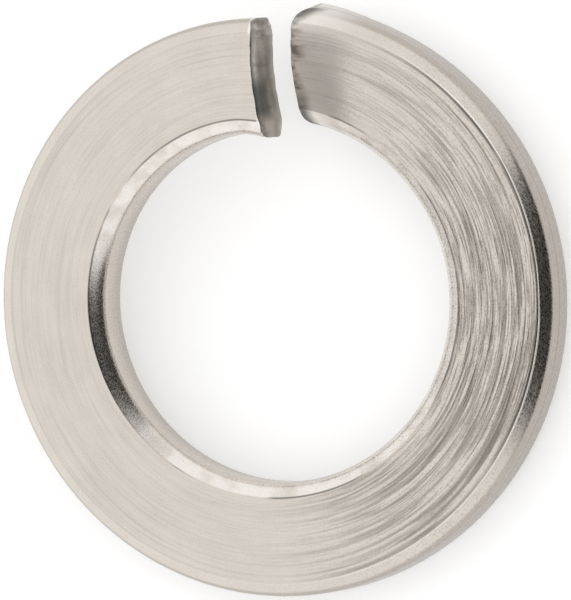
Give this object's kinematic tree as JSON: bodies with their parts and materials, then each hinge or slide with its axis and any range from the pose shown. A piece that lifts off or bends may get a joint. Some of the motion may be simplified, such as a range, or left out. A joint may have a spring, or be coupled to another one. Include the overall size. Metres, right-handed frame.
{
  "type": "spring lock washer",
  "caption": "Helical spring lock washer: a single turn of keystone-section wire, coiled left-handed and sheared through, for a 12 mm screw",
  "frame": {"origin": "On the bore's axis, half way up the free height of the coil", "axes": "+Z runs along the bore, out of the side from which the coil climbs clockwise; +Y points from the bore to the cut; +X completes the right-handed set, toward the low end"},
  "size_m": [0.0208, 0.0211, 0.0054],
  "materials": {
    "stainless_wire": "satin drawn stainless steel with fine lengthwise draw lines, pits and dark streaks by the cut"
  },
  "bodies": {
    "root": {"lock_washer": "stainless_wire"}
  },
  "joints": []
}
